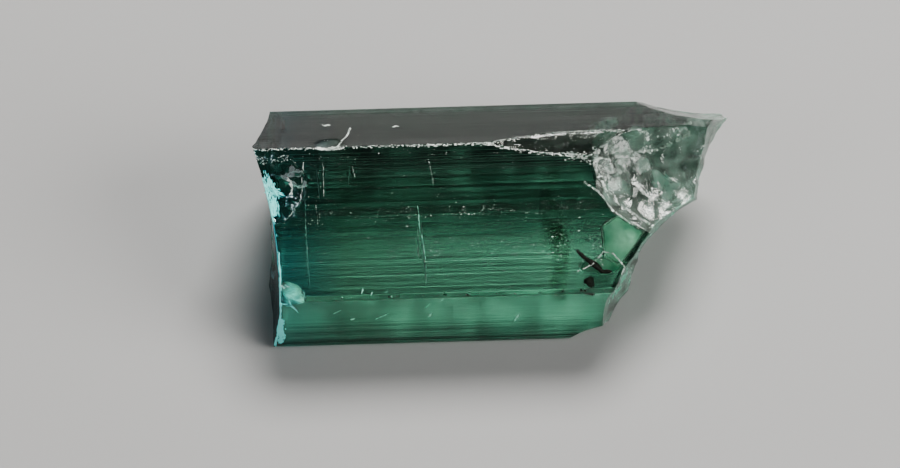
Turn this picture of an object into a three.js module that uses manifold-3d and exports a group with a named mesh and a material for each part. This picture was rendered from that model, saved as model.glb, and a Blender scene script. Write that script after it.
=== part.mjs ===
// A broken length of green tourmaline, lying on one prism face.
// Tourmaline is trigonal: its long prism faces meet at multiples of 30 degrees round the c axis.
// Frame, in millimetres: +X along the c axis, +Y to the back, +Z up. The origin is at the middle of
// the solid's box, on the surface that it rests on.
import * as THREE from "three";
import { mergeVertices } from "three/addons/utils/BufferGeometryUtils.js";
import Module from "manifold-3d";

const wasm = await Module();
wasm.setup();

// The section across the c axis, walked from the front foot over the top to the back foot. Each face
// has the direction it looks in, in degrees up from the front, and its width.
const FACES = [
  { looks: -60, width: 0.3 }, // front foot
  { looks: 0, width: 4.75 }, // front wall
  { looks: 30, width: 0.25 }, // front strip
  { looks: 58, width: 4.6 }, // front slope, lower half
  { looks: 62, width: 4.0 }, // front slope, upper half
  { looks: 120, width: 5.5 }, // back slope
  { looks: 150, width: 0.4 }, // back strip
];
const BACK_FOOT = { looks: 240, width: 0.5 }; // leans in under the back wall
const CUT_LENGTH = 34; // the prism before its ends are broken off
const CUT_START = -3;

// The conchoidal fractures. Each is a ball of stone that is missing, given by its middle and its
// radius. Lengths run from the ridge's left tip, the front wall and the base.
const END_DETAIL = 14;
const CHIP_DETAIL = 5;
const LEFT_END = [
  { at: [-22.8, 1, 5], radius: 24.5 },
  { at: [-19, 11, 1.5], radius: 21 },
];
const RIGHT_END = [
  { at: [20.6, 14.33, 50.46], radius: 42.13 }, // long shallow flake off the ridge
  { at: [24.7, 4.2, 13], radius: 6.6 }, // bowl in the top
  { at: [29.7, -2, 1.8], radius: 9.4 }, // undercut, front
  { at: [33.5, 7, -5.5], radius: 13 }, // undercut, back
  { at: [39.5, 4, 7], radius: 13.5 }, // right side
  { at: [29, 23, 17], radius: 16 }, // back corner
  { at: [22, -4, -3.2], radius: 6.2 }, // front foot
];
const CHIPS = [
  { at: [1.41, 4.1, 11.1], radius: 3.7 }, // flake scar under the ridge's left tip
  { at: [2.1, -1.3, 6.2], radius: 2.2 }, // left end of the front wall's top edge
  { at: [4.9, 9.15, 11.4], radius: 2.65 }, // nick behind the ridge
];

const radians = THREE.MathUtils.degToRad;

// The outline of the section as points (y, z), with the base on z = 0 and the front wall on y = 0.
function sectionOutline() {
  const step = ({ looks, width }) =>
    new THREE.Vector2(Math.sin(radians(looks)), Math.cos(radians(looks))).multiplyScalar(width);
  const start = new THREE.Vector2(-step(FACES[0]).x, 0);
  const outline = [start];
  for (const face of FACES) outline.push(outline.at(-1).clone().add(step(face)));
  const foot = step(BACK_FOOT);
  const wallEnd = new THREE.Vector2(outline.at(-1).x, -foot.y);
  outline.push(wallEnd, wallEnd.clone().add(foot));
  return outline;
}

function solidOf(geometry) {
  const bare = geometry.clone();
  bare.deleteAttribute("normal");
  bare.deleteAttribute("uv");
  const merged = mergeVertices(bare, 1e-4);
  return new wasm.Manifold(
    new wasm.Mesh({
      numProp: 3,
      vertProperties: merged.attributes.position.array,
      triVerts: merged.index.array,
    }),
  );
}

function geometryOf(solid) {
  const { vertProperties, triVerts } = solid.getMesh();
  const geometry = new THREE.BufferGeometry();
  geometry.setAttribute("position", new THREE.BufferAttribute(vertProperties, 3));
  geometry.setIndex(new THREE.BufferAttribute(triVerts, 1));
  return geometry;
}

// The whole prism, with its section in Y and Z and its length along X.
function prism() {
  const geometry = new THREE.ExtrudeGeometry(new THREE.Shape(sectionOutline()), {
    depth: CUT_LENGTH,
    bevelEnabled: false,
  });
  const alongX = new THREE.Vector3(1, 0, 0);
  const alongY = new THREE.Vector3(0, 1, 0);
  const alongZ = new THREE.Vector3(0, 0, 1);
  geometry.applyMatrix4(new THREE.Matrix4().makeBasis(alongY, alongZ, alongX));
  geometry.translate(CUT_START, 0, 0);
  return solidOf(geometry);
}

function scoop({ at, radius }, detail) {
  const geometry = new THREE.IcosahedronGeometry(radius, detail);
  return solidOf(geometry.translate(...at));
}

let crystal = prism();
for (const end of [...LEFT_END, ...RIGHT_END]) crystal = crystal.subtract(scoop(end, END_DETAIL));
for (const chip of CHIPS) crystal = crystal.subtract(scoop(chip, CHIP_DETAIL));

const stone = new THREE.Mesh(
  geometryOf(crystal),
  new THREE.MeshStandardMaterial({ color: 0x1f6b5c, roughness: 0.1, metalness: 0 }),
);
stone.name = "tourmaline_crystal";
stone.geometry.computeBoundingBox();
const { min, max } = stone.geometry.boundingBox;
stone.position.set(-(min.x + max.x) / 2, -(min.y + max.y) / 2, -min.z);

const specimen = new THREE.Group();
specimen.add(stone);
export default specimen;
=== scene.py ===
# The looks of a broken length of green tourmaline, lying on one prism face.
import bpy
import math
import numpy as np
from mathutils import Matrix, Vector
from mathutils.bvhtree import BVHTree


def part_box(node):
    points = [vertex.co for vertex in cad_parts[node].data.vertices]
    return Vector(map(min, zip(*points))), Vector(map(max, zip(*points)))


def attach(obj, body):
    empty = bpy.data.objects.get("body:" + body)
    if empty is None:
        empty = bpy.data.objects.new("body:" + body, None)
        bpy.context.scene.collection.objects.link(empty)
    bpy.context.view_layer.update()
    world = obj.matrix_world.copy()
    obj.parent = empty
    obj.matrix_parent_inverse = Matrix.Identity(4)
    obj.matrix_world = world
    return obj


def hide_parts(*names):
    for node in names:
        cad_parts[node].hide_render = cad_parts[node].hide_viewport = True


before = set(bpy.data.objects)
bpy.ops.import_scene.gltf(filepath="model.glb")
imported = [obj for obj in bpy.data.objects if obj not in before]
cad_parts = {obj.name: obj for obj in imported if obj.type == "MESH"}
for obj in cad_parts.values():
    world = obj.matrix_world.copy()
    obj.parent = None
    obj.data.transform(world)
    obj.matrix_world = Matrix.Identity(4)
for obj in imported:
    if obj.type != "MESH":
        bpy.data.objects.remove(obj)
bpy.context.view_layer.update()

NODE = "tourmaline_crystal"
MM = 0.001
FLOOR_GAP = 0.05 * MM  # the air under the stone, so that its base still mirrors as it does in air

# Lengths below are in millimetres, from the left end of the CAD box, the front wall and the base.
# The section across the c axis, front foot to back foot: the direction each face looks in, in
# degrees up from the front, its width, the rows of vertices across it and how deep its growth
# lines are.
FACES = [
    {"looks": -60, "width": 0.3, "rows": 3, "lines": 0},
    {"looks": 0, "width": 4.75, "rows": 80, "lines": 0.7},
    {"looks": 30, "width": 0.25, "rows": 4, "lines": 0.2},
    {"looks": 58, "width": 4.6, "rows": 190, "lines": 1},
    {"looks": 62, "width": 4.0, "rows": 160, "lines": 1},
    {"looks": 120, "width": 5.5, "rows": 80, "lines": 0.45},
    {"looks": 150, "width": 0.4, "rows": 5, "lines": 0.2},
]
BACK_FOOT = {"looks": 240, "width": 0.5}
BACK_WALL_ROWS = 60
BASE_ROWS = 16
CUT_LENGTH = 34.0
CUT_START = -3.0
STATIONS = 90

BACK_WALL_LINES = 0.7  # how deep the growth lines on the back wall are
FOOT_ROWS = 3
PLAIN_WIDTH = 6  # the width that a face with no width of its own has in the pattern of lines
LINES_FADE = 8  # growth lines fade out over one part in this many of a face, at both its edges

# Growth lines: how wide, how long and how deep each set of them is, and its seed.
GROWTH_LINES = [
    (1.3, 80, 0.018, 1),
    (0.42, 60, 0.016, 2),
    (0.19, 50, 0.014, 3),
    (0.11, 45, 0.007, 4),
]

# The fractures: balls of stone that are missing, as in the CAD solid. Each starts from a blow, and
# its ripples run round that. Hackle is how deep the small scoops in its surface are, haze how dull
# the surface is, and flakes how many bigger ones came off it.
RIDGE_TIP = (0, 8, 9)
RIDGE_BLOW = (20, 7.6, 9.4)
FRACTURES = [
    # The left end, in two scoops.
    {"at": (-22.8, 1, 5), "radius": 24.5, "blow": RIDGE_TIP,
     "hackle": 0.15, "haze": 0.1, "flakes": 4},
    {"at": (-19, 11, 1.5), "radius": 21, "blow": RIDGE_TIP,
     "hackle": 0.25, "haze": 0.1, "flakes": 4},
    # The long shallow flake off the ridge.
    {"at": (20.6, 14.33, 50.46), "radius": 42.13, "blow": (14, 7.6, 9.4),
     "hackle": 0.05, "haze": 0.1, "flakes": 0},
    # The bowl in the top of the right end.
    {"at": (24.7, 4.2, 13), "radius": 6.6, "blow": RIDGE_BLOW,
     "hackle": 1, "haze": 0.45, "flakes": 5},
    # The right end's undercut, front and back.
    {"at": (29.7, -2, 1.8), "radius": 9.4, "blow": (22, 0, 5),
     "hackle": 0.45, "haze": 1.5, "flakes": 2},
    {"at": (33.5, 7, -5.5), "radius": 13, "blow": (24, 0, 5),
     "hackle": 0.8, "haze": 1, "flakes": 4},
    # The right side.
    {"at": (39.5, 4, 7), "radius": 13.5, "blow": (27, 5, 7),
     "hackle": 0.8, "haze": 0.7, "flakes": 4},
    # The back corner.
    {"at": (29, 23, 17), "radius": 16, "blow": (23, 12, 7),
     "hackle": 0.3, "haze": 0.3, "flakes": 3},
    # The front foot.
    {"at": (22, -4, -3.2), "radius": 6.2, "blow": (22, 0, 2),
     "hackle": 0.1, "haze": 0.2, "flakes": 0},
    # The flake scar under the ridge's left tip.
    {"at": (1.41, 4.1, 11.1), "radius": 3.7, "blow": RIDGE_TIP,
     "hackle": 1.0, "haze": 0, "flakes": 0},
    # The left end of the front wall's top edge.
    {"at": (2.1, -1.3, 6.2), "radius": 2.2, "blow": (1, 0, 5),
     "hackle": 1.0, "haze": 0, "flakes": 0},
    # The nick behind the ridge.
    {"at": (4.9, 9.15, 11.4), "radius": 2.65, "blow": (4, 8, 9),
     "hackle": 0.1, "haze": 0.4, "flakes": 0},
]
LEFT_END = FRACTURES[:2]
RIDGE_FLAKE = FRACTURES[2]
END_FACING = (3, 6)  # the numbers of the fractures whose flakes face the right end's own middle
FIRST_SEED = 100  # a fracture's seed is this and its number
# The small scoops in a fracture, of two sizes: how wide and how deep they are, and their seed.
SCOOPS = [(1.15, 0.22, 41), (0.48, 0.09, 45)]
SCOOP_MIDDLE = 0.7
# Ripples: how deep they are, how far from the blow they fade, how long they are beside the blow
# and how much longer with each millimetre from it, and how far they wander.
RIPPLE_DEPTH = 0.012
RIPPLE_FADE = 5.0
RIPPLE_LENGTH = 0.5
RIPPLE_GROWTH = 0.12
RIPPLE_WANDER = 1.5
MOST_LIFT = 0.08  # of ripples and unevenness together
# Flakes: their radius, how deep they bite as a share of that, and their share of the hackle.
FLAKE_RADIUS = (0.9, 2.6)
FLAKE_BITE = (0.10, 0.18)
FLAKE_HACKLE = 0.4
MIDDLE = np.array([12.0, 6.0, 4.5])
RIGHT_MIDDLE = np.array([26.0, 7.0, 5.5])
# Places and directions in the section, as (y, z).
RIDGE = np.array([7.56, 9.43])
FRONT_EDGE = np.array([0.13, 5.1])
FRONT_UP = np.array([0.87, 0.49])
FRONT_IN = np.array([0.5, -0.87])
FRONT_TOP_DOWN = np.array([-0.883, -0.469])
BACK_DOWN = np.array([0.866, -0.5])
RIGHT_START = 19.5  # past this every break belongs to the right end
BACK_WALL_Y = 12.52


def on_slope(x, up, under=0.0):
    """A point on the front slope, or under it, given its distance up from the front edge."""
    return (x, *(FRONT_EDGE + FRONT_UP * up + FRONT_IN * under))


def on_back(x, down):
    """A point on the back slope, given its distance down from the ridge."""
    return (x, *(RIDGE + BACK_DOWN * down))


def on_front_top(x, down):
    """A point on the upper half of the front slope, given its distance down from the ridge."""
    return (x, *(RIDGE + FRONT_TOP_DOWN * down))


def flake_edge(place, x):
    """Where the long shallow flake off the ridge ends, on a face given by its function."""
    near, far = 0.0, 4.0
    for _ in range(30):
        down = (near + far) / 2
        reach = np.linalg.norm(np.array(place(x, down)) - np.array(RIDGE_FLAKE["at"]))
        inside = reach < RIDGE_FLAKE["radius"]
        near, far = (down, far) if inside else (near, down)
    return place(x, near)


# How crowded the crumbs on a mark are: how many to a square millimetre.
CRUSH_CRUMBS = 150
SCRATCH_CRUMBS = 260
CRACK_CRUMBS = 420

# Where the stone is crushed white: lines of points with the width of the crushing, how many strings
# of chips come off there, and how crowded the crumbs are where that isn't as usual.
CRUSHED = [
    {"points": [(-0.2, *RIDGE), (14, *RIDGE)], "width": 0.085, "chips": 3},
    {"points": [(5.0, *RIDGE), (5.6, *RIDGE)], "width": 0.16, "chips": 1},
    {"points": [(10.4, *RIDGE), (11.3, *RIDGE)], "width": 0.13, "chips": 1},
    {"points": [(13.4, *RIDGE), (14.3, *RIDGE)], "width": 0.17, "chips": 1},
    {"points": [flake_edge(on_back, x) for x in (13.9, 15, 17, 19, 21, 23)], "width": 0.075,
     "chips": 2},
    {"points": [flake_edge(on_front_top, x) for x in (13.9, 15, 17, 19.2)], "width": 0.10,
     "chips": 2},
    {"points": [(18.6, 6.9, 9.0), (20.6, 6.6, 8.8)], "width": 0.36, "chips": 3},
    {"points": [(20.2, 7.4, 8.9), (20.5, 6.2, 8.6), (21.0, 5.4, 8.1), (21.6, 4.9, 7.6)],
     "width": 0.18, "chips": 2},
    {"points": [(19.6, 5.4, 8.2), (20.4, 4.9, 7.9), (21.2, 4.0, 7.4), (22, 3.4, 7.1)],
     "width": 0.09, "chips": 2},
    {"points": [(21.6, 4.9, 7.6), (22.6, 4.0, 6.9), (23.4, 3.4, 6.4)], "width": 0.10, "chips": 1},
    {"points": [(22.6, 7.6, 8.0), (24.0, 8.2, 7.4), (26.2, 9.6, 7.2)], "width": 0.16, "chips": 1},
    {"points": [(22.4, 6.2, 7.2), (23.4, 5.4, 6.6), (24.6, 5.0, 6.3)], "width": 0.16, "chips": 1},
    {"points": [(0.1, 7.3, 9.2), (0.9, 6.9, 9.0), (2.6, 7.1, 9.2)], "width": 0.30, "chips": 3,
     "crumbs": 35},
]
# Scratches, bruises and short open cracks in the faces, with their widths.
SCRATCHES = [
    ([on_back(4.2, 0.15), on_back(5.2, 0.3)], 0.22),
    ([on_back(5.2, 0.3), on_back(5.85, 1.6), on_back(6.05, 2.8)], 0.07),
    ([on_back(4.5, 3.2), on_back(4.8, 3.3)], 0.10),
    ([on_back(8.6, 2.8), on_back(8.8, 2.9)], 0.14),
    ([on_slope(4.3, 8.2), on_slope(4.43, 7.5), on_slope(4.43, 5.8)], 0.035),
    ([on_slope(6.1, 7.6), on_slope(6.25, 6.8)], 0.035),
    ([on_slope(10.5, 7.9), on_slope(10.8, 6.4)], 0.035),
    ([on_slope(3.95, 5.3), on_slope(4.05, 4.0)], 0.03),
    ([on_slope(3.3, 7.8), on_slope(3.05, 5.5), on_slope(2.1, 4.3)], 0.045),
    ([on_slope(2.3, 6.8), on_slope(2.55, 6.3), on_slope(2.45, 6.0)], 0.09),
    ([on_slope(19.0, 1.0), on_slope(19.9, 1.4), on_slope(20.5, 2.1), on_slope(21.1, 1.95),
      on_slope(21.7, 1.2), on_slope(21.9, 0.6)], 0.05),
]
# Thin cracks that come up to the front slope, as crumbs with a painted pale-green glow standing for
# the stone's light shining out of them.
PAINTED_GLOW_CRACKS = [
    ([on_slope(9.85, 5.0), on_slope(9.9, 3.9), on_slope(10.1, 2.8), on_slope(10.2, 1.8)], 0.035),
    ([on_slope(10.2, 1.8), on_slope(10.25, 0.1)], 0.018),
    ([on_slope(3.4, 6.0), on_slope(3.3, 3.5), on_slope(3.38, 1.0)], 0.020),
    ([(3.1, 0.3, 5.2), (3.35, 0.1, 4.7)], 0.05),
    ([(2.25, 0.2, 4.6), (2.7, 0.0, 3.7)], 0.05),
    ([(4.8, 0, 3.4), (5.2, 0, 3.7)], 0.035),
    ([(7.2, 0, 2.7), (7.95, 0, 3.2)], 0.045),
    ([(5.8, 0, 2.75), (5.95, 0, 2.8)], 0.06),
    ([(10.15, 0, 3.75), (10.4, 0, 4.15)], 0.05),
    ([(10.35, 0, 2.8), (10.45, 0, 3.1)], 0.07),
    ([(11.0, 0, 4.3), (11.15, 0, 4.6)], 0.035),
    ([(15.35, 0, 2.1), (15.55, 0, 2.7)], 0.06),
    ([on_slope(6.45, 0.1), on_slope(6.55, 0.35)], 0.04),
    ([on_slope(7.0, 0.0), on_slope(7.1, 0.2)], 0.04),
    ([on_slope(7.85, 0.1), on_slope(8.0, 0.2)], 0.04),
    ([on_slope(1.25, 7.0), on_slope(1.35, 6.0), on_slope(1.5, 4.9)], 0.30),
    ([on_slope(1.3, 6.3), on_slope(1.85, 6.1)], 0.20),
    ([(1.75, 0, 2.9), (1.6, 0, 2.0), (1.7, 0, 1.2), (1.6, 0, 0.6)], 0.20),
    ([(1.7, 0.1, 4.5), (2.3, 0.1, 4.3), (2.6, 0.1, 3.9)], 0.05),
    ([(2.9, 0.2, 5.1), (3.2, 0.1, 4.9)], 0.05),
]


def left_edge(y, z):
    """Where the left end's fractures cut the stone off, at a place in the section."""
    reach = []
    for fracture in LEFT_END:
        x0, y0, z0 = fracture["at"]
        reach.append(x0 + math.sqrt(fracture["radius"] ** 2 - (y - y0) ** 2 - (z - z0) ** 2))
    return max(reach)


# The left end's rim of painted cyan glow: places (y, z) down the front slope and the front wall.
RIM_PLACES = [on_slope(0, up)[1:] for up in (4.6, 3.5, 2.4, 1.2, 0.1)]
RIM_PLACES += [(0, z) for z in (4.6, 3, 1.5, 0.3)]
RIM_INSET = 0.06
RIM_WIDTH = 0.08
PAINTED_GLOW_CRACKS.append(([(left_edge(y, z) + RIM_INSET, y, z) for y, z in RIM_PLACES], RIM_WIDTH))

# Bands of dust: how many grains, over what part of the length, how far up the front slope the
# middle of the band is and how far the grains stray from it.
DUST = [
    {"count": 420, "x": (3, 20), "up": (4.65, 0.28)},
    {"count": 420, "x": (8, 20.5), "up": (2.5, 0.5)},
    {"count": 170, "x": (17.0, 20.8), "up": (2.9, 1.2)},
    {"count": 650, "x": (2, 20.5), "up": (4.2, 2.6)},
    {"count": 120, "x": (2, 20), "up": (8.2, 0.4)},
]


# Large odd numbers that stir up a cell's place and the seed, and the mask that keeps 32 bits.
CELL_FACTORS = (73856093, 19349663, 83492791)
SEED_FACTOR = 2654435761
STIRS = ((15, 2246822519), (13, 3266489917))
MASK = 0xFFFFFFFF


def lattice(cell, seed):
    """A fixed pseudo-random number from 0 to 1 for each whole-number cell."""
    cell = cell.astype(np.int64)
    a, b, c = (cell[..., k] * CELL_FACTORS[k] for k in range(3))
    mixed = (a ^ b ^ c ^ seed * SEED_FACTOR) & MASK
    for shift_by, factor in STIRS:
        mixed = (mixed ^ mixed >> shift_by) * factor & MASK
    return (mixed ^ mixed >> 16) / MASK


def value_noise(points, seed):
    """Smooth noise from -1 to 1 with cells one unit across."""
    base = np.floor(points)
    part = points - base
    part = part * part * (3 - 2 * part)
    total = np.zeros(points.shape[:-1])
    for corner in np.ndindex(2, 2, 2):
        corner = np.array(corner)
        weight = np.prod(np.where(corner == 1, part, 1 - part), axis=-1)
        total += weight * lattice(base + corner, seed)
    return 2 * total - 1


def rough_noise(points, scale, seed):
    """Three layers of smooth noise, each half the size and half the strength of the last."""
    total = np.zeros(points.shape[:-1])
    for octave in range(3):
        total += value_noise(points / scale * 2**octave, seed + octave) / 2**octave
    return total


def scallops(points, size, seed):
    """How far each point lies into its small scoop, and how far from the ridge to the next one."""
    cells = points / size
    base = np.floor(cells)
    nearest = np.full(len(points), 9.0)
    second = np.full(len(points), 9.0)
    for corner in np.ndindex(3, 3, 3):
        cell = base + np.array(corner) - 1
        middle = cell + np.stack([lattice(cell, seed + k) for k in range(3)], -1)
        far = ((cells - middle) ** 2).sum(-1) - 0.3 * lattice(cell, seed + 3)
        second = np.minimum(second, np.maximum(nearest, far))
        nearest = np.minimum(nearest, far)
    return 1 - nearest, second - nearest


def mesh_object(name, verts, faces):
    mesh = bpy.data.meshes.new(name)
    mesh.from_pydata(np.asarray(verts).tolist(), [], faces)
    mesh.update()
    obj = bpy.data.objects.new(name, mesh)
    bpy.context.scene.collection.objects.link(obj)
    return obj


def ring_grid(first, rings, count):
    """Quads of a grid of rings, each of count vertices, with the ring running round to the left."""
    faces = []
    for i in range(rings - 1):
        a = first + i * count
        b = a + count
        for j in range(count):
            k = (j + 1) % count
            faces.append((a + j, b + j, b + k, a + k))
    return faces


def closed_faces(rings, sectors):
    """The faces of a closed form whose vertices are a tip, rings of vertices and another tip."""
    faces = [(0, 1 + j, 1 + (j + 1) % sectors) for j in range(sectors)]
    faces += ring_grid(1, rings, sectors)
    ring = 1 + (rings - 1) * sectors
    last = ring + sectors
    faces += [(last, ring + (j + 1) % sectors, ring + j) for j in range(sectors)]
    return faces


def add_lump(verts, faces, lump, lump_faces):
    """Adds a lump's vertices and faces to the lists of a mesh."""
    first = len(verts)
    verts += list(lump)
    faces += [tuple(first + v for v in face) for face in lump_faces]


def edge_fade(share):
    """How deep growth lines still are at a share of a face's width: 0 at both its edges."""
    return min(1, LINES_FADE * share, LINES_FADE * (1 - share))


def step(face):
    """The way along a face of the section, from its first edge to its second."""
    angle = math.radians(face["looks"])
    return np.array([math.sin(angle), math.cos(angle)]) * face["width"]


def section():
    """Points (y, z) round the section, the way into the stone at each, and its growth lines."""
    places, inward, across, lines = [], [], [], []
    start = np.array([-step(FACES[0])[0], 0.0])
    first = start
    distance = 0.0
    for face in FACES:
        along = step(face)
        for k in range(face["rows"]):
            share = k / face["rows"]
            places.append(start + along * share)
            inward.append(np.array([along[1], -along[0]]) / face["width"])
            across.append(distance + share * face["width"])
            lines.append(face["lines"] * edge_fade(share))
        start = start + along
        distance += face["width"]
    foot = step(BACK_FOOT)
    wall_end = np.array([start[0], -foot[1]])
    stretches = [(start, wall_end, BACK_WALL_ROWS, BACK_WALL_LINES),
                 (wall_end, wall_end + foot, FOOT_ROWS, 0),
                 (wall_end + foot, first, BASE_ROWS, 0)]
    for a, b, count, depth in stretches:
        for k in range(count):
            share = k / count
            places.append(a + (b - a) * share)
            inward.append(np.array([-1.0, 0.0]))
            across.append(distance + share * PLAIN_WIDTH)
            lines.append(depth * edge_fade(share))
        distance += PLAIN_WIDTH
    return np.array(places), np.array(inward), np.array(across), np.array(lines)


def growth_lines(across, x):
    """How far the growth lines lie under the prism face: fine ribs that run along the c axis."""
    spots = np.stack([across, x, np.zeros_like(x)], -1)
    depth = 0.0
    for size, length, deep, seed in GROWTH_LINES:
        stretched = spots / np.array([size, length, 1])
        depth = depth + deep * (1 - np.abs(value_noise(stretched, seed)))
    return depth


def prism():
    """The whole stone before its ends are broken off."""
    places, inward, across, lines = section()
    xs = CUT_START + CUT_LENGTH * np.linspace(0, 1, STATIONS)
    x, row = np.meshgrid(xs, np.arange(len(places)), indexing="ij")
    depth = growth_lines(across[row], x) * lines[row]
    yz = places[row] + inward[row] * depth[..., None]
    verts = np.concatenate([x[..., None], yz], -1).reshape(-1, 3)
    count = len(places)
    faces = ring_grid(0, STATIONS, count)
    faces.append(tuple(range(count)))
    faces.append(tuple((STATIONS - 1) * count + j for j in reversed(range(count))))
    return mesh_object("stone", verts, faces)


def fracture_lift(points, radius, blow, seed, hackle):
    """How far a fracture bites past its ball: ripples, slow unevenness and small sharp scoops."""
    far = np.linalg.norm(points - np.array(blow, float), axis=1)
    length = RIPPLE_LENGTH + RIPPLE_GROWTH * far
    wave = np.sin(far * 2 * math.pi / length + RIPPLE_WANDER * rough_noise(points, 3.0, seed))
    uneven = min(0.02 * radius, 0.05, 0.6 / radius)
    lift = RIPPLE_DEPTH * wave * np.exp(-far / RIPPLE_FADE)
    lift = np.minimum(lift + uneven * rough_noise(points, 2.0, seed + 9), MOST_LIFT)
    for size, deep, scoop_seed in SCOOPS:
        lift += hackle * deep * (scallops(points, size, scoop_seed)[0] - SCOOP_MIDDLE)
    return lift


def ball(name, at, radius, facing, blow, seed, step_mm, reach, hackle):
    """A ball with a fine cap, rippled as a fracture is, on the side that faces the stone."""
    at = np.array(at, float)
    axis = facing / np.linalg.norm(facing)
    fine_rings = max(6, int(radius * reach / step_mm))
    coarse_rings = 8
    thetas = np.concatenate([np.linspace(0, reach, fine_rings)[1:],
                             np.linspace(reach, math.pi, coarse_rings)[1:-1]])
    sectors = max(18, int(2 * math.pi * radius * math.sin(reach) / step_mm / 1.5))
    phis = np.arange(sectors) * 2 * math.pi / sectors
    side = np.cross(axis, (0.1, 0.2, 0.97))
    side /= np.linalg.norm(side)
    up = np.cross(axis, side)
    theta, phi = np.meshgrid(thetas, phis, indexing="ij")
    way = (np.cos(theta)[..., None] * axis + (np.sin(theta) * np.cos(phi))[..., None] * side
           + (np.sin(theta) * np.sin(phi))[..., None] * up).reshape(-1, 3)
    way = np.vstack([axis, way, -axis])
    points = at + way * radius
    points += way * fracture_lift(points, radius, blow, seed, hackle)[:, None]
    return mesh_object(name, points, closed_faces(len(thetas), sectors))


FINE_STEP = 0.11  # between the vertices of a hackly fracture's cap
COARSE_STEP = 0.17
FLAKE_REACH = 1.3  # half the angle of a flake's fine cap


def flakes(number, fracture, rng):
    """Smaller balls that bite a little deeper than the fracture's own surface."""
    at = np.array(fracture["at"], float)
    axis = (RIGHT_MIDDLE if number in END_FACING else MIDDLE) - at
    axis = axis / np.linalg.norm(axis)
    made = []
    spread = min(1.0, 5.0 / fracture["radius"])
    for k in range(fracture["flakes"]):
        way = axis + rng.normal(0, spread * 0.6, 3)
        way /= np.linalg.norm(way)
        radius = rng.uniform(*FLAKE_RADIUS)
        bite = rng.uniform(*FLAKE_BITE) * radius
        middle = at + way * (fracture["radius"] + bite - radius)
        facing = way + rng.normal(0, 0.2, 3)
        blow = middle + way * radius + rng.normal(0, 0.8, 3)
        seed = 300 + 40 * number + k
        made.append(ball(f"flake_{number}_{k}", middle, radius, facing, blow, seed, FINE_STEP,
                         FLAKE_REACH, FLAKE_HACKLE * fracture["hackle"]))
    return made


def chips(name, rng, line, spacing, size):
    """One cutter of small rough lumps strung along a line, that don't touch each other."""
    verts, faces = [], []
    line = np.array(line, float)
    lengths = np.linalg.norm(np.diff(line, axis=0), axis=1)
    total = lengths.sum()
    place = 0.0
    while place < total:
        part = int(np.searchsorted(np.cumsum(lengths), place, side="right"))
        part = min(part, len(lengths) - 1)
        share = (place - lengths[:part].sum()) / lengths[part]
        spot = line[part] + (line[part + 1] - line[part]) * share
        radius = rng.uniform(*size)
        lump, lump_faces = bumpy_lump(rng, radius, np.array([rng.uniform(1, 1.9), 1, 1]))
        add_lump(verts, faces, lump + spot + rng.normal(0, 0.3 * radius, 3), lump_faces)
        place += spacing * rng.uniform(1, 1.6)
    return mesh_object(name, verts, faces)


GOLD = (1 + math.sqrt(5)) / 2
ICO_VERTS = np.array([
    (-1, GOLD, 0), (1, GOLD, 0), (-1, -GOLD, 0), (1, -GOLD, 0),
    (0, -1, GOLD), (0, 1, GOLD), (0, -1, -GOLD), (0, 1, -GOLD),
    (GOLD, 0, -1), (GOLD, 0, 1), (-GOLD, 0, -1), (-GOLD, 0, 1),
])
ICO_FACES = [
    (0, 11, 5), (0, 5, 1), (0, 1, 7), (0, 7, 10), (0, 10, 11),
    (1, 5, 9), (5, 11, 4), (11, 10, 2), (10, 7, 6), (7, 1, 8),
    (3, 9, 4), (3, 4, 2), (3, 2, 6), (3, 6, 8), (3, 8, 9),
    (4, 9, 5), (2, 4, 11), (6, 2, 10), (8, 6, 7), (9, 8, 1),
]


def bumpy_lump(rng, radius, stretch):
    """A small lump with twenty sides and uneven corners, as vertices and faces."""
    verts = ICO_VERTS / np.linalg.norm(ICO_VERTS[0]) * radius
    verts = verts * rng.uniform(0.7, 1.2, (12, 1)) * stretch
    return verts, ICO_FACES


def carve(stone, cutters):
    """Takes the cutters out of the stone and returns the finished mesh."""
    for cutter in cutters:
        cut = stone.modifiers.new(cutter.name, "BOOLEAN")
        cut.operation = "DIFFERENCE"
        cut.solver = "MANIFOLD"
        cut.object = cutter
    graph = bpy.context.evaluated_depsgraph_get()
    mesh = bpy.data.meshes.new_from_object(stone.evaluated_get(graph))
    for used in [stone, *cutters]:
        bpy.data.objects.remove(used)
    return mesh


SKIN_DEPTH = 0.05  # what lies further in than this, under the growth lines, is a break
SKIN_BLEND = 0.03


def fractured(points):
    """1 on a broken surface and 0 on a prism face."""
    depth = np.full(len(points), 1e9)
    start = np.array([-step(FACES[0])[0], 0.0])
    for face in FACES:
        along = step(face)
        inward = np.array([along[1], -along[0]]) / face["width"]
        depth = np.minimum(depth, (points[:, 1:] - start) @ inward)
        start = start + along
    depth = np.minimum(depth, start[0] - points[:, 1])
    depth = np.minimum(depth, points[:, 2])
    return np.clip((depth - SKIN_DEPTH) / SKIN_BLEND, 0, 1)


NEAR_FRACTURE = 0.9
ON_FRACTURE = 0.02
CREST_WIDTHS = (0.05, 0.12)  # of the crushed crests between scoops, for each size of scoop


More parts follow.
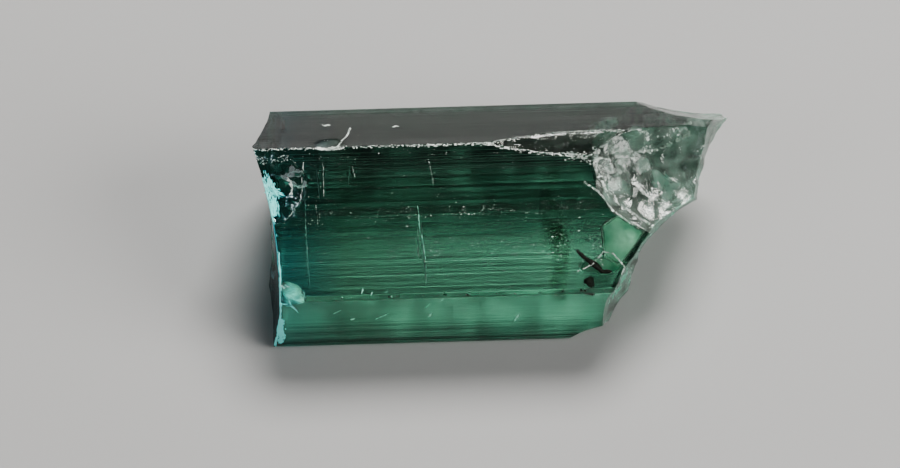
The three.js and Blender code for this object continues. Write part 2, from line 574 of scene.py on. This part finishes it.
def fracture_marks(points):
    """Crushing along the crests between small scoops, and haze, for each point of the surface."""
    crush = np.zeros(len(points))
    haze = np.zeros(len(points))
    for number, fracture in enumerate(FRACTURES):
        away = points - np.array(fracture["at"], float)
        far = np.linalg.norm(away, axis=1)
        near = np.flatnonzero(np.abs(far - fracture["radius"]) < NEAR_FRACTURE)
        ball_points = points[near] + away[near] * (fracture["radius"] / far[near] - 1)[:, None]
        lift = fracture_lift(ball_points, fracture["radius"], fracture["blow"], FIRST_SEED + number,
                             fracture["hackle"])
        on_it = np.abs(far[near] - fracture["radius"] - lift) < ON_FRACTURE
        near, ball_points = near[on_it], ball_points[on_it]
        haze[near] = np.maximum(haze[near], fracture["haze"])
        patches = np.clip(0.25 + 0.9 * rough_noise(ball_points, 1.3, 61), 0, 1)
        for (size, _, seed), width in zip(SCOOPS, CREST_WIDTHS):
            gap = scallops(ball_points, size, seed)[1]
            crest = fracture["hackle"] * np.exp(-(gap / width) ** 2) * patches
            crush[near] = np.maximum(crush[near], crest)
    return crush, haze


FRONT_STRIP = [(1, 0.03, 4.98), (22, 0.03, 4.98)]  # along the strip between front wall and slope
CHIP_SIZE = (0.05, 0.15)
CRUSH_SIZE = (0.05, 0.14)
PLAIN_BREAK_HAZE = 0.8  # where a chip or a flake broke the right end further
WALL_SKIN = 0.16  # how far in the back wall's etched skin counts as skin, and how softly it ends
WALL_BLEND = 0.05
STRIP_Y = 0.15  # the strip between front wall and front slope, which gets the back wall's darker, rougher skin as a dark line along the edge
STRIP_Z = (4.77, 5.06)
TIP_GAP = 0.02  # how far the left tip stays inside the CAD box
SMOOTH_UNDER = math.radians(28)  # the edges between faces that meet at less than this are smooth


def crystal_piece():
    """The carved stone, with the marks that its material reads, and its shift to the CAD box."""
    rng = np.random.default_rng(7)
    cutters = []
    for number, fracture in enumerate(FRACTURES):
        at = np.array(fracture["at"], float)
        radius = fracture["radius"]
        reach = min(math.pi * 0.5, 11.0 / radius)
        apart = FINE_STEP if fracture["hackle"] > 0.3 else COARSE_STEP
        cutters.append(ball(f"fracture_{number}", at, radius, MIDDLE - at, fracture["blow"],
                            FIRST_SEED + number, apart, reach, fracture["hackle"]))
        cutters += flakes(number, fracture, rng)
    for k in range(2):
        cutters.append(chips(f"front_edge_chips_{k}", rng, FRONT_STRIP, 1.0, CHIP_SIZE))
    for n, line in enumerate(CRUSHED):
        for k in range(line["chips"]):
            cutters.append(chips(f"crush_{n}_{k}", rng, line["points"], 0.40, CRUSH_SIZE))
    mesh = carve(prism(), cutters)
    mesh.name = "tourmaline"
    points = np.empty(len(mesh.vertices) * 3)
    mesh.vertices.foreach_get("co", points)
    points = points.reshape(-1, 3)
    crush, haze = fracture_marks(points)
    broken = fractured(points)
    x, y, z = points.T
    on_back_wall = np.clip((y - BACK_WALL_Y + WALL_SKIN) / WALL_BLEND, 0, 1)
    on_strip = (y < STRIP_Y) & (z > STRIP_Z[0]) & (z < STRIP_Z[1])
    # the strip along the front wall's top edge is given the back wall's darker skin, as a dark line
    etched_wall_and_dark_strip = np.maximum(on_back_wall, on_strip * (1 - broken))
    haze = np.where((haze == 0) & (x > RIGHT_START), PLAIN_BREAK_HAZE, haze)
    for name, values in (("crush", crush * broken), ("haze", haze * broken), ("fracture", broken),
                         ("etched_wall_and_dark_strip", etched_wall_and_dark_strip)):
        layer = mesh.attributes.new(name, "FLOAT", "POINT")
        layer.data.foreach_set("value", values)
    low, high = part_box(NODE)
    shift = np.array([low.x / MM + TIP_GAP - x.min(), low.y / MM, 0])
    mesh.vertices.foreach_set("co", np.clip((points + shift) * MM, low, high).ravel())
    mesh.update()
    mesh.polygons.foreach_set("use_smooth", [True] * len(mesh.polygons))
    mesh.set_sharp_from_angle(angle=SMOOTH_UNDER)
    obj = bpy.data.objects.new("tourmaline", mesh)
    bpy.context.scene.collection.objects.link(obj)
    return obj, shift


def surface_tree(obj):
    """A search tree of an object's surface, in metres."""
    mesh = obj.data
    return BVHTree.FromPolygons([v.co for v in mesh.vertices], [p.vertices for p in mesh.polygons])


def along_line(line, share):
    """The point at a share of the length of a line of points, and the line's direction there."""
    line = np.array(line, float)
    lengths = np.linalg.norm(np.diff(line, axis=0), axis=1)
    place = share * lengths.sum()
    part = min(int(np.searchsorted(np.cumsum(lengths), place)), len(lengths) - 1)
    way = line[part + 1] - line[part]
    return line[part] + way * (place - lengths[:part].sum()) / lengths[part], way / lengths[part]


CRUMB_RADIUS = (0.2, 0.55)  # as a share of its mark's width
WIDEST_MARK = 0.09  # on a mark wider than this the crumbs get no bigger
CRUMB_SUNK = 0.4  # how far a crumb's middle is under the surface, as a share of its radius


def crumbs(name, tree, shift, marks, seed, stretch=(1, 2)):
    """Small angular lumps strung along marks, half sunk in the nearest surface.

    A mark is a line of points, its width and how crowded its lumps are.
    """
    rng = np.random.default_rng(seed)
    low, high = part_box(NODE)
    verts, faces = [], []
    for line, width, crowding in marks:
        length = np.linalg.norm(np.diff(np.array(line, float), axis=0), axis=1).sum()
        for _ in range(max(3, int(length * 2 * width * crowding))):
            spot, way = along_line(line, rng.uniform())
            spot = spot + rng.normal(0, 0.4 * width, 3)
            radius = rng.uniform(*CRUMB_RADIUS) * min(width, WIDEST_MARK)
            lump, lump_faces = bumpy_lump(rng, radius, np.array([rng.uniform(*stretch), 1, 1]))
            side = np.cross(way, (0.3, -0.5, 0.8))
            side /= np.linalg.norm(side)
            lump = lump @ np.array([way, side, np.cross(way, side)])
            hit, normal, _, _ = tree.find_nearest(Vector(to_metres(spot, shift)))
            middle = np.array(hit - normal * CRUMB_SUNK * radius * MM)
            add_lump(verts, faces, np.clip(middle + lump * MM, low, high), lump_faces)
    return mesh_object(name, verts, faces)


LOWEST_DUST = 4.6  # no dust lies lower than this
DUST_RADIUS = 0.009
DUST_SPREAD = (0.08, 0.5)  # the logarithm of a grain's share of that radius: middle and spread
LARGEST_DUST = 0.035
FRONT_NORMAL = np.array([0, -0.5, 0.866])


def dust(tree, shift):
    """Grains of dust on the front slope and by the ridge, half sunk in the surface."""
    rng = np.random.default_rng(31)
    low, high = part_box(NODE)
    verts, faces = [], []
    for band in DUST:
        for _ in range(band["count"]):
            spot = np.array(on_slope(rng.uniform(*band["x"]), rng.normal(*band["up"]), -1.0))
            radius = min(DUST_RADIUS * math.exp(rng.normal(*DUST_SPREAD)), LARGEST_DUST)
            lump, lump_faces = bumpy_lump(rng, radius, np.array([rng.uniform(1, 2.5), 1, 1]))
            hit = tree.ray_cast(Vector(to_metres(spot, shift)), Vector(-FRONT_NORMAL))[0]
            if hit is not None and hit.z > LOWEST_DUST * MM:
                add_lump(verts, faces, np.clip(np.array(hit) + lump * MM, low, high), lump_faces)
    return mesh_object("dust", verts, faces)


def to_metres(points, shift):
    """Places in the stone's own millimetres as places in the frame, in metres."""
    return (np.asarray(points) + shift) * MM


def feather(name, shift, at, normal, along, half, bend, seed, thickness=0.014, corners=None):
    """A crack inside the stone: a thin, slightly bowed lens, with an uneven outline or corners."""
    at, normal, along = (np.array(v, float) for v in (at, normal, along))
    normal = normal / np.linalg.norm(normal)
    along = along - normal * (along @ normal)
    along = along / np.linalg.norm(along)
    side = np.cross(normal, along)
    rings, sectors = 14, 48
    phis = np.arange(sectors) * 2 * math.pi / sectors
    edge = 1 + 0.22 * rough_noise(np.stack([np.cos(phis), np.sin(phis), 0 * phis], -1), 0.8, seed)
    if corners is not None:
        edge = polygon_edge(phis, np.array(corners, float))
    sheets = []
    for sign in (1, -1):
        share = np.linspace(0, 1, rings + 1)[1:] if sign > 0 else np.linspace(1, 0, rings + 1)[1:-1]
        r, k = np.meshgrid(share, np.arange(sectors), indexing="ij")
        u = half[0] * r * edge[k] * np.cos(phis[k])
        v = half[1] * r * edge[k] * np.sin(phis[k])
        flat = at + u[..., None] * along + v[..., None] * side
        bow = bend * (u * u + v * v) / max(half) + 0.05 * half[1] * rough_noise(flat, 0.7, seed + 5)
        lift = sign * thickness * np.sqrt(np.maximum(0, 1 - r * r))
        sheets.append((flat + (bow + lift)[..., None] * normal).reshape(-1, 3))
    rim = 0.05 * half[1] * rough_noise(at[None], 0.7, seed + 5)[0]
    points = np.vstack([at + (rim + thickness) * normal, *sheets, at + (rim - thickness) * normal])
    faces = closed_faces(2 * rings - 1, sectors)
    obj = mesh_object(name, to_metres(points, shift), faces)
    obj.data.polygons.foreach_set("use_smooth", [True] * len(obj.data.polygons))
    out = np.concatenate([np.linspace(0, 1, rings + 1)[1:], np.linspace(1, 0, rings + 1)[1:-1]])
    fade = np.concatenate([[1.0], 1 - np.repeat(out, sectors) ** 2, [1.0]])
    obj.data.attributes.new("fade", "FLOAT", "POINT").data.foreach_set("value", fade)
    return obj


def polygon_edge(phis, corners):
    """How far a convex polygon reaches from its middle in each direction."""
    ways = np.stack([np.cos(phis), np.sin(phis)], -1)
    far = np.full(len(phis), np.inf)
    for a, b in zip(corners, np.roll(corners, -1, axis=0)):
        out = np.array([b[1] - a[1], a[0] - b[0]])
        facing = ways @ out
        ahead = facing > 1e-6
        far[ahead] = np.minimum(far[ahead], (out @ a) / facing[ahead])
    return far


def dark_lump(name, shift, spine, half, seed):
    """A black lump inside the stone, strung along a short bent spine."""
    spine = np.array(spine, float)
    rings, sectors = 26, 20
    share = np.linspace(0, 1, rings)
    stops = np.linspace(0, 1, len(spine))
    line = np.stack([np.interp(share, stops, spine[:, k]) for k in range(3)], -1)
    girth = half * np.sqrt(np.maximum(0.0, 1 - (2 * share - 1) ** 4))
    phis = np.arange(sectors) * 2 * math.pi / sectors
    way = spine[-1] - spine[0]
    way /= np.linalg.norm(way)
    side = np.cross(way, (0.2, 0.9, 0.3))
    side /= np.linalg.norm(side)
    up = np.cross(way, side)
    round_about = np.cos(phis)[:, None] * side + np.sin(phis)[:, None] * up
    points = line[1:-1, None] + girth[1:-1, None, None] * round_about[None]
    points = points.reshape(-1, 3)
    lumpy = 1 + 0.55 * rough_noise(points, 0.5, seed)
    middle = np.repeat(line[1:-1], sectors, axis=0)
    points = middle + (points - middle) * lumpy[:, None]
    points = np.vstack([line[0], points, line[-1]])
    obj = mesh_object(name, to_metres(points, shift), closed_faces(rings - 2, sectors))
    obj.data.polygons.foreach_set("use_smooth", [True] * len(obj.data.polygons))
    return obj


UP_SLOPE = (0, *FRONT_UP)
VEIL_COUNT = 9


def sealed_pieces(shift):
    """What is sealed in the stone: silvery cracks, black lumps, veils of painted shade and facets
    with a painted pale-green glow.
    """
    rng = np.random.default_rng(23)
    light, dark = [], []
    # Cracks across the stone: where each is on the front slope and how far under it, the way it
    # faces, and half its length and half its depth.
    cracks = [
        (10.1, 2.2, 0.45, (1, 0.08, -0.03), 2.3, 0.42),
        (9.8, 2.9, 0.35, (1, -0.06, 0.1), 0.9, 0.30),
        (3.35, 3.6, 0.22, (1, 0.03, 0.0), 3.3, 0.18),
        (4.1, 6.5, 0.16, (1, 0.1, 0.0), 1.0, 0.12),
        (5.9, 6.9, 0.14, (1, -0.1, 0.0), 0.6, 0.10),
        (10.7, 6.9, 0.16, (1, 0.1, 0.0), 0.8, 0.12),
    ]
    for n, (x, up, under, normal, long, deep) in enumerate(cracks):
        light.append(feather(f"crack_{n + 1}", shift, on_slope(x, up, under), normal, UP_SLOPE,
                             (long, deep), 0.02, 500 + n, 0.010))
    for n in range(VEIL_COUNT):
        at = (rng.uniform(20.2, 25.6), rng.uniform(5.6, 9.6), rng.uniform(3.6, 6.0))
        normal = rng.normal(0, 1, 3)
        along = rng.normal(0, 1, 3)
        half = (rng.uniform(0.5, 1.2), rng.uniform(0.3, 0.7))
        bend = rng.uniform(-0.3, 0.3)
        light.append(feather(f"right_veil_{n + 1}", shift, at, normal, along, half, bend, 530 + n))
    # The band of painted shade: where each veil is, half its length and width, and its seed.
    painted_shade_band = [
        ((17.5, 5.2, 5.6), (2.6, 0.8), 560),
        ((18.1, 3.6, 5.0), (2.2, 0.9), 563),
        ((17.9, 2.4, 4.0), (1.8, 0.7), 566),
    ]
    veils = []
    for n, (at, half, seed) in enumerate(painted_shade_band):
        veils.append(feather(f"shade_sheet_{n + 1}", shift, at, (0.5, -0.3, 0.8), (0, 1, 0.3), half,
                             0.1, seed))
    # The black lumps follow a spine, and have half a thickness and a seed.
    spine = [on_slope(18.9, 2.3, 0.35), on_slope(19.7, 1.6, 0.4), on_slope(20.4, 1.0, 0.45),
             on_slope(21.0, 0.95, 0.5)]
    dark.append(dark_lump("dark_spot_1", shift, spine, 0.16, 571))
    spine = [on_slope(19.5, 0.65, 1.3), on_slope(19.9, 0.1, 1.25)]
    dark.append(dark_lump("dark_spot_2", shift, spine, 0.30, 575))
    # The facet's middle and corners: along the stone, and up the front slope.
    middle = np.array([21.5, 2.8])
    corners = np.array([(21.45, 1.1), (22.55, 2.6), (23.05, 3.25), (21.4, 4.3), (20.4, 3.7),
                        (20.5, 1.8)])
    # both pieces carry a painted pale-green glow
    facets = [
        feather("right_facet", shift, on_slope(*middle, 0.35), FRONT_NORMAL, (1, 0, 0), (1, 1),
                0.02, 527, corners=corners - middle),
        feather("crack_bowed", shift, on_slope(20.6, 1.3, 0.7), (0.2, -0.75, 0.6), (1, 0, 0.2),
                (1.25, 0.55), -0.5, 521),
    ]
    return light, dark, veils, facets


def feather_material():
    """Thin cracks: silvery, cloudy and half see-through."""
    n = Nodes("feather_silvery")
    where = n.add("TexCoord").outputs["Object"]
    cloud = n.add("TexNoise", {"Vector": where, "Scale": 2500.0, "Detail": 4.0}).outputs[0]
    silver = n.mix(n.ramp(cloud, 0.35, 0.65), (0.55, 0.90, 0.82, 1), (0.95, 1.0, 0.98, 1))
    n.set(n.shader, "Base Color", silver)
    n.set(n.shader, "Transmission Weight", n.ramp(cloud, 0.35, 0.65, 0.85, 0.2))
    n.set(n.shader, "Roughness", n.ramp(cloud, 0.3, 0.7, 0.2, 0.5))
    n.set(n.shader, "IOR", 1.2)
    return n.material


def painted_glow_facet_material():
    """A smooth break inside the stone, painted pale green as a painted glow of lit stone, that
    fades out at its rim.
    """
    n = Nodes("facet_painted_glow")
    where = n.add("TexCoord").outputs["Object"]
    cloud = n.add("TexNoise", {"Vector": where, "Scale": 700.0, "Detail": 3.0}).outputs[0]
    green = n.mix(n.ramp(cloud, 0.35, 0.65), (0.16, 0.54, 0.36, 1), (0.52, 0.94, 0.72, 1))
    fade = n.add("Attribute", attribute_name="fade").outputs["Fac"]
    body = n.math("MULTIPLY", n.ramp(fade, 0.02, 0.45), n.ramp(cloud, 0.35, 0.65, 0.55, 0.85))
    n.set(n.shader, "Base Color", n.mix(n.ramp(body, 0, 0.4), (1, 1, 1, 1), green))
    n.set(n.shader, "Transmission Weight", n.math("SUBTRACT", 1.0, body))
    n.set(n.shader, "Roughness", n.ramp(body, 0, 0.6, 0.0, 0.4))
    n.set(n.shader, "IOR", 1.1)
    return n.material


def painted_shade_veil_material():
    """A veil of painted shade that only darkens what is behind it, in soft clouds."""
    n = Nodes("veil_painted_shade")
    where = n.add("TexCoord").outputs["Object"]
    cloud = n.add("TexNoise", {"Vector": where, "Scale": 600.0, "Detail": 2.0}).outputs[0]
    fade = n.add("Attribute", attribute_name="fade").outputs["Fac"]
    smoke = n.math("MULTIPLY", fade, n.ramp(cloud, 0.35, 0.6))
    n.set(n.shader, "Base Color", n.mix(smoke, (1, 1, 1, 1), (0.50, 0.56, 0.46, 1)))
    n.set(n.shader, "Transmission Weight", 1.0)
    n.set(n.shader, "Roughness", 0.0)
    n.set(n.shader, "IOR", 1.0)
    return n.material


def black_lump_material():
    """Black lumps in the stone."""
    n = Nodes("lump_black")
    where = n.add("TexCoord").outputs["Object"]
    cloud = n.add("TexNoise", {"Vector": where, "Scale": 6000.0, "Detail": 4.0}).outputs[0]
    n.set(n.shader, "Base Color", n.mix(cloud, (0.004, 0.006, 0.005, 1), (0.05, 0.035, 0.025, 1)))
    n.set(n.shader, "Roughness", n.ramp(cloud, 0.3, 0.7, 0.35, 0.7))
    return n.material


def dust_material():
    """Dust and crushed stone."""
    n = Nodes("dust_pale")
    where = n.add("TexCoord").outputs["Object"]
    cloud = n.add("TexNoise", {"Vector": where, "Scale": 1500.0, "Detail": 2.0}).outputs[0]
    pale = n.mix(n.ramp(cloud, 0.35, 0.6), (0.30, 0.36, 0.33, 1), (0.80, 0.84, 0.80, 1))
    n.set(n.shader, "Base Color", pale)
    n.set(n.shader, "Roughness", n.ramp(cloud, 0.3, 0.7, 0.5, 0.9))
    return n.material


def painted_glow_material():
    """Open cracks and rims with a painted glow: pale green, or cyan at the left end."""
    n = Nodes("crack_painted_glow")
    where = n.add("TexCoord").outputs["Object"]
    cloud = n.add("TexNoise", {"Vector": where, "Scale": 1500.0, "Detail": 2.0}).outputs[0]
    green = n.mix(n.ramp(cloud, 0.35, 0.6), (0.18, 0.55, 0.42, 1), (0.50, 0.90, 0.75, 1))
    x = n.add("SeparateXYZ", {0: where}).outputs[0]
    color = n.mix(n.ramp(x, -0.0122, -0.0110), (0.25, 0.85, 0.82, 1), green)
    n.set(n.shader, "Base Color", color)
    n.set(n.shader, "Roughness", n.ramp(cloud, 0.3, 0.7, 0.4, 0.7))
    return n.material


class Nodes:
    """A small helper that adds and links shader nodes."""

    def __init__(self, name):
        self.material = bpy.data.materials.new(name)
        self.material.use_nodes = True
        self.tree = self.material.node_tree
        self.shader = self.tree.nodes["Principled BSDF"]
        self.output = self.tree.nodes["Material Output"]

    def add(self, kind, inputs=(), **settings):
        node = self.tree.nodes.new("ShaderNode" + kind)
        for key, value in settings.items():
            setattr(node, key, value)
        for key, value in dict(inputs).items():
            self.set(node, key, value)
        return node

    def set(self, node, key, value):
        if isinstance(value, bpy.types.NodeSocket):
            self.tree.links.new(value, node.inputs[key])
        else:
            node.inputs[key].default_value = value

    def math(self, operation, a, b=0.0, clamp=False):
        node = self.add("Math", {0: a, 1: b}, operation=operation, use_clamp=clamp)
        return node.outputs[0]

    def mix(self, factor, a, b):
        node = self.add("Mix", data_type="RGBA")
        self.set(node, 0, factor)
        self.set(node, 6, a)
        self.set(node, 7, b)
        return node.outputs[2]

    def ramp(self, value, low, high, to_low=0.0, to_high=1.0):
        names = ("Value", "From Min", "From Max", "To Min", "To Max")
        node = self.add("MapRange", dict(zip(names, (value, low, high, to_low, to_high))))
        return node.outputs[0]


def tourmaline_material():
    """The clear stone: teal to green, crushed and hazy on its breaks, etched on its back wall, and
    darker and rougher on the strip along the front wall's top edge.
    """
    n = Nodes("tourmaline_clear")
    where = n.add("TexCoord").outputs["Object"]
    x = n.add("SeparateXYZ", {0: where}).outputs[0]
    crush = n.add("Attribute", attribute_name="crush").outputs["Fac"]
    haze = n.add("Attribute", attribute_name="haze").outputs["Fac"]
    fracture = n.add("Attribute", attribute_name="fracture").outputs["Fac"]
    etched_wall_and_dark_strip = n.add("Attribute", attribute_name="etched_wall_and_dark_strip").outputs["Fac"]
    grit = n.add("TexNoise", {"Vector": where, "Scale": 9000.0, "Detail": 3.0}).outputs[0]
    crushed = n.ramp(n.math("MULTIPLY", crush, n.ramp(grit, 0.3, 0.65)), 0.12, 0.6)
    cloud = n.add("TexNoise", {"Vector": where, "Scale": 1300.0, "Detail": 4.0}).outputs[0]
    dull = n.math("MULTIPLY", haze, n.ramp(cloud, 0.35, 0.7, 0.05, 0.40))
    white = n.math("MAXIMUM", crushed, dull)
    teal = n.ramp(x, -0.0122, -0.0090)
    tint = n.mix(teal, (0.38, 0.80, 1.0, 1), (0.92, 1.0, 0.92, 1))
    tint = n.mix(n.math("MULTIPLY", dull, 2.0, clamp=True), tint, (0.26, 0.74, 0.54, 1))
    patch = n.add("TexNoise", {"Vector": where, "Scale": 420.0, "Detail": 2.0}).outputs[0]
    skin = n.mix(n.ramp(patch, 0.40, 0.62), (0.10, 0.28, 0.21, 1), (0.36, 0.67, 0.53, 1))
    # darker mottled skin on the back wall, and the same on the front strip as a dark line along its
    # edge
    tint = n.mix(etched_wall_and_dark_strip, tint, skin)
    n.set(n.shader, "Base Color", n.mix(crushed, tint, (0.93, 0.96, 0.95, 1)))
    n.set(n.shader, "Transmission Weight", n.ramp(white, 0, 1, 1, 0.2))
    blotch = n.add("TexNoise", {"Vector": where, "Scale": 900.0, "Detail": 3.0}).outputs[0]
    matt = n.math("MULTIPLY", etched_wall_and_dark_strip, n.ramp(blotch, 0.38, 0.62, 0.40, 0.85))
    hazy = n.math("MULTIPLY", haze, n.ramp(cloud, 0.35, 0.65, 0.05, 0.22))
    rough = n.math("MAXIMUM", matt, hazy)
    n.set(n.shader, "Roughness", n.math("MAXIMUM", n.ramp(white, 0, 1, 0.015, 0.5), rough))
    n.set(n.shader, "IOR", 1.63)
    stretched = n.add("Mapping", {"Vector": where, "Scale": (18.0, 13000.0, 13000.0)}).outputs[0]
    fine = n.add("TexNoise", {"Vector": stretched, "Scale": 1.0, "Detail": 1.0}).outputs[0]
    smooth = n.math("SUBTRACT", 1.0, fracture)
    deep = n.ramp(etched_wall_and_dark_strip, 0, 1, 1, 2.5)
    lines = n.math("MULTIPLY", n.math("MULTIPLY", fine, smooth), deep)
    pitted = n.math("MULTIPLY", n.math("MULTIPLY", haze, 2.2, clamp=True), 2.0)
    height = n.math("ADD", lines, n.math("MULTIPLY", grit, pitted))
    bump = n.add("Bump", {"Height": height, "Distance": 0.000017, "Strength": 0.8})
    n.set(n.shader, "Normal", bump.outputs[0])
    absorb = n.add("VolumeAbsorption", {"Color": (0.44, 0.59, 0.54, 1), "Density": 400.0})
    n.set(n.output, "Volume", absorb.outputs[0])
    return n.material


FLOOR_HALF = 3
# Soft round lights: the way to each from the stone, how far off and how wide it is in metres, its
# power in watts and its colour.
LIGHTS = {
    "key": ((0.20, 0.60, 0.86), 0.6, 0.30, 5.4, (1, 0.98, 0.95)),
    "side": ((0.9, -0.3, 0.5), 0.5, 0.35, 2.5, (1, 0.98, 0.95)),
    "fill": ((-1.0, -0.6, 0.7), 0.8, 0.4, 0.8, (0.92, 0.96, 1)),
}


def floor_piece():
    """A plain pale floor, a hair's breadth under the stone."""
    z = -FLOOR_GAP
    corners = [(-FLOOR_HALF, -FLOOR_HALF, z), (FLOOR_HALF, -FLOOR_HALF, z),
               (FLOOR_HALF, FLOOR_HALF, z), (-FLOOR_HALF, FLOOR_HALF, z)]
    floor = mesh_object("floor", corners, [(0, 1, 2, 3)])
    n = Nodes("floor_plain")
    n.set(n.shader, "Base Color", (0.34, 0.34, 0.34, 1))
    n.set(n.shader, "Roughness", 0.8)
    floor.data.materials.append(n.material)
    return floor


def studio():
    """The lights, the faint light from all round, and the contrast of the picture."""
    for name, (way, distance, size, power, color) in LIGHTS.items():
        light = bpy.data.lights.new(name, "AREA")
        light.shape = "DISK"
        light.size = size
        light.energy = power
        light.color = color
        obj = bpy.data.objects.new(name, light)
        obj.location = Vector(way).normalized() * distance
        obj.rotation_euler = Vector(way).to_track_quat("Z", "Y").to_euler()
        bpy.context.scene.collection.objects.link(obj)
    world = bpy.data.worlds.new("world")
    bpy.context.scene.world = world
    world.use_nodes = True
    background = world.node_tree.nodes["Background"]
    background.inputs["Color"].default_value = (0.5, 0.52, 0.55, 1)
    background.inputs["Strength"].default_value = 0.15
    bpy.context.scene.view_settings.look = "AgX - Medium High Contrast"


CAMERA_AZIMUTH = math.radians(-2)
CAMERA_ELEVATION = math.radians(55)
CAMERA_TARGET = (-2.72, 1.19, 4.0)  # in millimetres to the right, up and towards the camera
CAMERA_DISTANCE = 0.25
CAMERA_LENS = 170.4
SENSOR_WIDTH = 36
NEAR_CLIP = 0.01


def camera():
    """The camera, at the photograph's viewing angle."""
    level = math.cos(CAMERA_ELEVATION)
    way = Vector((math.sin(CAMERA_AZIMUTH) * level, -math.cos(CAMERA_AZIMUTH) * level,
                  math.sin(CAMERA_ELEVATION)))
    right = Vector((math.cos(CAMERA_AZIMUTH), math.sin(CAMERA_AZIMUTH), 0))
    up = way.cross(right)
    target = (right * CAMERA_TARGET[0] + up * CAMERA_TARGET[1] + way * CAMERA_TARGET[2]) * MM
    data = bpy.data.cameras.new("camera")
    data.sensor_width = SENSOR_WIDTH
    data.lens = CAMERA_LENS
    data.clip_start = NEAR_CLIP
    obj = bpy.data.objects.new("camera", data)
    obj.location = target + way * CAMERA_DISTANCE
    obj.rotation_euler = way.to_track_quat("Z", "Y").to_euler()
    bpy.context.scene.collection.objects.link(obj)
    bpy.context.scene.camera = obj


crystal, shift = crystal_piece()
tree = surface_tree(crystal)
crystal.data.materials.clear()
crystal.data.materials.append(tourmaline_material())
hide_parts(NODE)
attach(crystal, "root")
light, dark, veils, facets = sealed_pieces(shift)
crush_marks = [(line["points"], line["width"], line.get("crumbs", CRUSH_CRUMBS))
               for line in CRUSHED]
scratch_marks = [(*mark, SCRATCH_CRUMBS) for mark in SCRATCHES]
crack_marks = [(*mark, CRACK_CRUMBS) for mark in PAINTED_GLOW_CRACKS]
grains = [
    dust(tree, shift),
    crumbs("crushed_stone", tree, shift, crush_marks, 41),
    crumbs("scratches", tree, shift, scratch_marks, 42, (1.5, 4)),
]
# crumbs along the cracks and the left rim, whose pale green and cyan are painted glow
painted_glow_crumbs = [crumbs("painted_glow_crumbs", tree, shift, crack_marks, 43, (2, 6))]
finishes = [
    (light, feather_material()),
    (dark, black_lump_material()),
    (veils, painted_shade_veil_material()),
    (facets, painted_glow_facet_material()),
    (grains, dust_material()),
    (painted_glow_crumbs, painted_glow_material()),
]
for pieces, material in finishes:
    for piece in pieces:
        piece.data.materials.append(material)
        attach(piece, "root")
floor = floor_piece()
studio()
camera()
